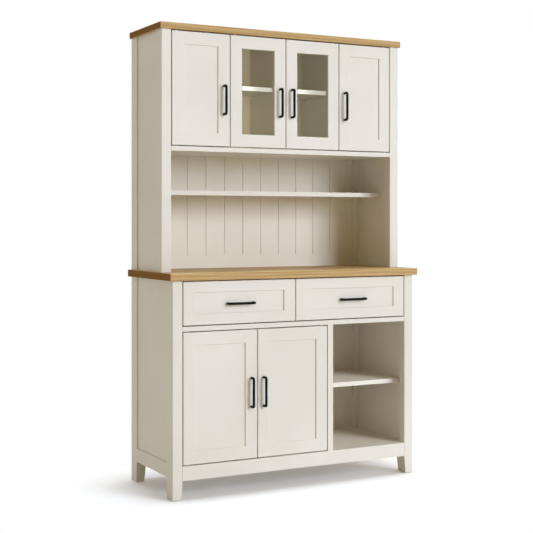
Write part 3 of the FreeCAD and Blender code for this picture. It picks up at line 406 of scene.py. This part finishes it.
def applyPlace(piece):  # the place goes into the mesh, and the object back to the origin
    pick(piece)
    bpy.ops.object.transform_apply(location=True, rotation=True, scale=True)


def startBlock(place, size):  # a cube at its place and size
    bpy.ops.object.select_all(action="DESELECT")
    bpy.ops.mesh.primitive_cube_add(size=1, location=place)
    piece = bpy.context.object
    piece.scale = size
    applyPlace(piece)
    return piece


def applyModifier(piece, kind, **settings):
    pick(piece)
    modifier = piece.modifiers.new(kind.lower(), kind)
    for name, value in settings.items():
        setattr(modifier, name, value)
    bpy.ops.object.modifier_apply(modifier=modifier.name)


def pickParts(piece, kind, test):  # edit mode with only the faces or edges that pass
    pick(piece)
    bpy.ops.object.mode_set(mode="EDIT")
    bpy.ops.mesh.select_mode(type=kind)
    bpy.ops.mesh.select_all(action="DESELECT")
    bpy.ops.object.mode_set(mode="OBJECT")
    for part in piece.data.polygons if kind == "FACE" else piece.data.edges:
        part.select = test(part)
    bpy.ops.object.mode_set(mode="EDIT")


def cleanUp(piece, apart=0.000005):
    pick(piece)
    bpy.ops.object.mode_set(mode="EDIT")
    bpy.ops.mesh.select_all(action="SELECT")
    bpy.ops.mesh.remove_doubles(threshold=apart)
    bpy.ops.mesh.normals_make_consistent(inside=False)
    bpy.ops.object.mode_set(mode="OBJECT")


def duplicate(piece):
    pick(piece)
    bpy.ops.object.duplicate()
    return bpy.context.object


def turned(piece, angle):  # a copy, turned about X
    copy = duplicate(piece)
    copy.rotation_euler.x = angle
    applyPlace(copy)
    return copy


def joined(pieces):
    pick(*pieces)
    if len(pieces) > 1:
        bpy.ops.object.join()
    return bpy.context.object


def copyTo(piece, places, name):  # one copy with its own mesh at each place, joined into one piece
    copies = []
    for place in places:
        copy = duplicate(piece)
        copy.location = place
        applyPlace(copy)
        copies.append(copy)
    whole = joined(copies)
    whole.name = name
    whole.data.name = name
    return whole


def finishPiece(piece, body, slot):
    pick(piece)
    bpy.ops.object.shade_smooth_by_angle(angle=math.radians(edge["roundAngle"]))
    piece.data.materials.clear()
    piece.data.materials.append(finishes[slot])
    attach(piece, body)


def throwAway(*pieces):
    pick(*pieces)
    bpy.ops.object.delete()


facingFrom = 0.99  # a face looks along an axis when its normal has this much of it

# Cross-head screw, its head up along Z at the origin
screw = {
    "radius": 0.0036, "rise": 0.0016, "sides": 24, "domeShare": 0.7, "domeSteps": 4,
    "crossLong": 0.0042, "crossWide": 0.0009, "crossDeep": 0.0011,
}


def screwHead():
    rise = screw["rise"]
    bpy.ops.object.select_all(action="DESELECT")
    bpy.ops.mesh.primitive_cylinder_add(
        vertices=screw["sides"], radius=screw["radius"], depth=rise, location=(0, 0, rise / 2))
    head = bpy.context.object
    applyPlace(head)
    pickParts(head, "FACE", lambda face: face.normal.z > facingFrom)
    bpy.ops.mesh.bevel(offset=rise * screw["domeShare"], segments=screw["domeSteps"], affect="EDGES")
    bpy.ops.object.mode_set(mode="OBJECT")
    slot = (screw["crossLong"], screw["crossWide"])
    for across in (slot, slot[::-1]):
        cutter = startBlock((0, 0, rise), across + (screw["crossDeep"] * 2,))
        applyModifier(head, "BOOLEAN", object=cutter, operation="DIFFERENCE", solver="EXACT")
        throwAway(cutter)
    cleanUp(head)
    return head


upScrew = screwHead()
backScrew = turned(upScrew, -math.pi / 2)
downScrew = turned(upScrew, math.pi)

# Screws round the two back panels
backRow = {"inset": 0.009, "pitch": 0.19, "sink": 0.0012}
places = []
for panel in ("hutch_back", "base_back"):
    low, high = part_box(panel)
    left, right = low[0] + backRow["inset"], high[0] - backRow["inset"]
    foot, head = low[2] + backRow["inset"], high[2] - backRow["inset"]
    face = high[1] - backRow["sink"]
    count = round((right - left) / backRow["pitch"])
    for i in range(count + 1):
        x = left + (right - left) * i / count
        places += [(x, face, foot), (x, face, head)]
    count = round((head - foot) / backRow["pitch"])
    for i in range(1, count):
        z = foot + (head - foot) * i / count
        places += [(left, face, z), (right, face, z)]
backScrews = copyTo(backScrew, places, "back_panel_screws")
finishPiece(backScrews, "carcass", "steel")
print("screws:", len(places), "in the back panels")

# Magnetic catch under the board above each door, and its strike plate on the back of the door
catch = {
    "size": (0.040, 0.016, 0.014), "lip": 0.0022, "mouth": 0.0012, "ease": 0.0012, "easeSteps": 3,
    "pole": (0.029, 0.0009, 0.0024), "poleRise": 0.0027, "poleEase": 0.0003, "poleSteps": 2,
    "screwAt": 0.0135, "screwSink": 0.0006, "inset": 0.0095, "back": 0.0205, "lift": 0.004,
}
strike = {
    "size": (0.034, 0.00035, 0.0105), "corner": 0.0016, "cornerSteps": 4, "drop": 0.0009,
    "screwAt": 0.0115, "screwSize": 0.62, "proud": 0.0001,
}


def catchHousing():
    case = startBlock((0, 0, 0), catch["size"])
    applyModifier(case, "BEVEL", width=catch["ease"], segments=catch["easeSteps"], limit_method="ANGLE")
    pickParts(case, "FACE", lambda face: face.normal.y < -facingFrom)
    bpy.ops.mesh.inset(thickness=catch["lip"])
    bpy.ops.mesh.extrude_region_move(TRANSFORM_OT_translate={"value": (0, catch["mouth"], 0)})
    bpy.ops.object.mode_set(mode="OBJECT")
    cleanUp(case)
    return case


def catchPoles():  # two poles in the mouth, and two screws from below
    poleY = -catch["size"][1] / 2 + catch["mouth"] - catch["pole"][1] / 2
    eased = {"width": catch["poleEase"], "segments": catch["poleSteps"], "limit_method": "ANGLE"}
    pieces = []
    for z in (-catch["poleRise"], catch["poleRise"]):
        pole = startBlock((0, poleY, z), catch["pole"])
        applyModifier(pole, "BEVEL", **eased)
        pieces.append(pole)
    screwZ = -catch["size"][2] / 2 + catch["screwSink"]
    screwPlaces = [(x, 0, screwZ) for x in (-catch["screwAt"], catch["screwAt"])]
    pieces.append(copyTo(downScrew, screwPlaces, "catch_screws"))
    return joined(pieces)


def strikePlate():
    thick = strike["size"][1]
    sheet = startBlock((0, thick / 2, 0), strike["size"])

    def isCorner(side):  # one of the four short edges
        first, second = [sheet.data.vertices[i].co for i in side.vertices]
        return abs(first.y - second.y) > thick / 2

    pickParts(sheet, "EDGE", isCorner)
    bpy.ops.mesh.bevel(offset=strike["corner"], segments=strike["cornerSteps"], affect="EDGES")
    bpy.ops.object.mode_set(mode="OBJECT")
    small = duplicate(backScrew)
    small.scale = (strike["screwSize"],) * 3
    applyPlace(small)
    sunk = thick + strike["proud"] - screw["rise"] * strike["screwSize"]
    heads = copyTo(small, [(x, sunk, 0) for x in (-strike["screwAt"], strike["screwAt"])], "strike_screws")
    throwAway(small)
    return joined([sheet, heads])


doorOf = {
    "left_hutch_door": "hutch_door_left", "right_hutch_door": "hutch_door_right",
    "left_glass_door": "glass_door_left_frame", "right_glass_door": "glass_door_right_frame",
    "left_base_door": "base_door_left", "right_base_door": "base_door_right",
}
housing, poles, plate = catchHousing(), catchPoles(), strikePlate()
wide, deep, tall = catch["size"]
catchPlaces = []
for joint in frame["joints"]:
    body = joint["child"]
    if body not in doorOf:
        continue
    low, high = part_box(doorOf[body])
    onRight = joint["pos_m"][0] < (low[0] + high[0]) / 2  # the free edge lies away from the pivot
    fromEdge = catch["inset"] + wide / 2
    x = high[0] - fromEdge if onRight else low[0] + fromEdge
    catchPlaces.append((x, low[1] + catch["back"] + deep / 2, high[2] + catch["lift"] - tall / 2))
    plateZ = high[2] - strike["drop"] - strike["size"][2] / 2
    onDoor = copyTo(plate, [(x, high[1], plateZ)], "strike_plate_" + body)
    finishPiece(onDoor, body, "steel")
housings = copyTo(housing, catchPlaces, "catch_housings")
finishPiece(housings, "carcass", "magnet_case")
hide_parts("door_catches")
allPoles = copyTo(poles, catchPlaces, "catch_poles")
finishPiece(allPoles, "carcass", "steel")
print("catches:", len(catchPlaces), "with their strike plates")

# Screw up through each wall bracket into the top board
bracket = {"half": 0.015, "out": 0.014, "thick": 0.002}
low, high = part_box("wall_brackets")
screwY, underLeg = low[1] + bracket["out"], high[2] - bracket["thick"]
places = [(x, screwY, underLeg) for x in (low[0] + bracket["half"], high[0] - bracket["half"])]
bracketScrews = copyTo(downScrew, places, "bracket_screws")
finishPiece(bracketScrews, "carcass", "steel")
print("brackets:", len(places), "screws")

throwAway(upScrew, backScrew, downScrew, housing, poles, plate)

# Camera, at the angle of the photograph: its turn is in radians
view = {
    "place": (-2.26749, -4.17905, 1.04417), "turn": 0.48945, "sensor": 36, "clipEnd": 200,
    "focalPx": 1166.26, "axisRow": 220.73, "framePx": 533,
}
bpy.ops.object.camera_add(location=view["place"], rotation=(math.pi / 2, 0, -view["turn"]))
camera = bpy.context.object
camera.data.sensor_width = view["sensor"]
camera.data.lens = view["sensor"] * view["focalPx"] / view["framePx"]
camera.data.shift_y = (view["axisRow"] - view["framePx"] / 2) / view["framePx"]
camera.data.clip_end = view["clipEnd"]
scene.camera = camera


def seenByEye(tree):  # 1 for the rays that show a thing: straight, mirrored or through glass
    path = addNode(tree, "LightPath")
    mirrored = addNode(tree, "Math", {
        0: path.outputs["Is Glossy Ray"], 1: path.outputs["Is Transmission Ray"]}, operation="MAXIMUM")
    seen = addNode(tree, "Math", {
        0: path.outputs["Is Camera Ray"], 1: mirrored.outputs[0]}, operation="MAXIMUM")
    return seen.outputs[0]


# Room: warm and dim in front, paler behind the cabinet, and white to the eye
room = {
    "low": (0.145, 0.104, 0.025, 1.0), "high": (0.375, 0.315, 0.19, 1.0), "back": (0.68, 0.67, 0.67, 1.0),
    "rise": {"From Min": 0.0, "From Max": 0.8}, "turn": {"From Min": -0.7, "From Max": 0.7},
}
world = bpy.data.worlds.new("studio")
scene.world = world
world.use_nodes = True
tree = world.node_tree
tree.nodes.clear()
way = addNode(tree, "SeparateXYZ", {0: addNode(tree, "TexCoord").outputs["Generated"]})
above = addNode(tree, "MapRange", {
    "Value": way.outputs["Z"], **room["rise"]}, interpolation_type="SMOOTHSTEP")
behind = addNode(tree, "MapRange", {
    "Value": way.outputs["Y"], **room["turn"]}, interpolation_type="SMOOTHSTEP")
front = addNode(tree, "Mix", {0: above.outputs[0], 6: room["low"], 7: room["high"]}, data_type="RGBA")
tint = addNode(tree, "Mix", {0: behind.outputs[0], 6: front.outputs[2], 7: room["back"]}, data_type="RGBA")
walls = addNode(tree, "Background", {"Color": tint.outputs[2]})
white = addNode(tree, "Background", {"Color": (1.0, 1.0, 1.0, 1.0)})
choice = addNode(tree, "MixShader", {0: seenByEye(tree), 1: walls.outputs[0], 2: white.outputs[0]})
addNode(tree, "OutputWorld", {"Surface": choice.outputs[0]})

# Floor: white to the eye, with the cabinet's own soft shadow near its foot
floor = {
    "size": 60, "bounce": "#CEC7B9", "shade": "#F8F5F0", "shadeReach": (0.62, 0.34),
    "glow": {"From Min": 0.9, "From Max": 1.6, "To Min": 0.12},
}
bpy.ops.object.select_all(action="DESELECT")
bpy.ops.mesh.primitive_plane_add(size=floor["size"], location=(0, 0, 0))
ground = bpy.context.object
ground.name = "studio_floor"
material, tree = newFinish("white_studio_floor")
spot = addNode(tree, "TexCoord").outputs["Object"]
oval = addNode(tree, "Mapping", {"Vector": spot, "Scale": [1 / axis for axis in floor["shadeReach"]] + [1.0]})
distance = addNode(tree, "VectorMath", {0: oval.outputs[0]}, operation="LENGTH")
fade = addNode(tree, "MapRange", {
    "Value": distance.outputs["Value"], **floor["glow"]}, interpolation_type="SMOOTHSTEP")
plain = addNode(tree, "BsdfDiffuse", {"Color": linear(floor["bounce"])})
shade = addNode(tree, "BsdfDiffuse", {"Color": linear(floor["shade"])})
glow = addNode(tree, "Emission", {"Strength": 1.0})
lit = addNode(tree, "MixShader", {0: fade.outputs[0], 1: shade.outputs[0], 2: glow.outputs[0]})
choice = addNode(tree, "MixShader", {0: seenByEye(tree), 1: plain.outputs[0], 2: lit.outputs[0]})
addNode(tree, "OutputMaterial", {"Surface": choice.outputs[0]})
ground.data.materials.append(material)


def addLamp(name, place, aim, size, power, colour, reaches=(), glint=False):
    away = Vector(place) - Vector(aim)
    bpy.ops.object.light_add(type="AREA", location=place, rotation=away.to_track_quat("Z", "Y").to_euler())
    lamp = bpy.context.object
    lamp.name = name
    lamp.data.shape = "RECTANGLE"
    lamp.data.size, lamp.data.size_y = size
    lamp.data.energy = power
    lamp.data.color = colour
    lamp.visible_camera = False
    lamp.visible_glossy = glint  # most would only glare in the panes
    lamp.visible_transmission = glint
    if reaches:  # it lights these pieces alone
        receivers = bpy.data.collections.new(name + "_receivers")
        for piece in reaches:
            receivers.objects.link(piece)
        lamp.light_linking.receiver_collection = receivers


# Soft box, to the right of the camera and above it: its side and rise are in degrees
softBox = {
    "side": 27, "rise": 16.5, "away": 16.0, "aim": (0, 0, 0.95), "size": (7.2, 7.5),
    "power": 2010, "colour": (0.82, 0.925, 1.18),
}
side, rise = math.radians(softBox["side"]), math.radians(softBox["rise"])
ray = Vector((math.sin(side) * math.cos(rise), -math.cos(side) * math.cos(rise), math.sin(rise)))
boxPlace = Vector(softBox["aim"]) + ray * softBox["away"]
addLamp("soft_box", boxPlace, softBox["aim"], softBox["size"], softBox["power"], softBox["colour"])

# Wash from high above, which whitens the floor and keeps the shadow close to the feet
wash = {
    "place": (0, 0, 10), "aim": (0, 0, 0), "size": (1.6, 1.6),
    "power": 620, "colour": (0.70, 0.83, 1.0),
}
addLamp("floor_wash", **wash)

# The room reaches the back of the glazed cupboards through the panes: each has a faint lamp on its inside
paneLamp = {"behind": 0.004, "power": {"left": 0.47, "right": 0.2}, "colour": (0.98, 0.95, 0.8)}
glazedBack = [cadNodes["hutch_back"]]
for label, power in paneLamp["power"].items():
    low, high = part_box("glass_door_%s_pane" % label)
    middle = Vector(((low[0] + high[0]) / 2, high[1] + paneLamp["behind"], (low[2] + high[2]) / 2))
    backwards = middle + Vector((0, 1, 0))
    paneSize = (high[0] - low[0], high[2] - low[2])
    addLamp("pane_lamp_" + label, middle, backwards, paneSize, power, paneLamp["colour"], glazedBack)

# Front edges of the shelves behind the glass, which the doors shade: a lamp on the camera's side
edgeLamp = {
    "place": (-1.4, -2.6, 1.62), "aim": (0, 0, 1.62), "size": (0.5, 0.5),
    "power": 65, "colour": (0.92, 0.97, 1.1),
}
addLamp("edge_lamp", reaches=[cadNodes["hutch_centre_shelves"]], glint=True, **edgeLamp)

# Shelf and floor of the open bay: a lamp high in front on the right, which leaves its walls as they are
bayLamp = {
    "place": (1.2, -2.3, 2.3), "aim": (0.35, -0.05, 0.25), "size": (0.6, 0.6),
    "power": 13, "colour": (1.0, 0.97, 0.86),
}
addLamp("bay_lamp", reaches=[cadNodes["base_open_shelf"], cadNodes["base_floor"]], glint=True, **bayLamp)

# Floor at the right foot: a low lamp from the right, which thins the shadow there
lowLamp = {
    "place": (1.3, -0.35, 0.4), "aim": (0.3, -0.1, 0), "size": (0.7, 0.7),
    "power": 3.8, "colour": (1.0, 1.0, 1.0),
}
addLamp("low_lamp", reaches=[ground], **lowLamp)
print("stage: camera, room, floor and lamps")
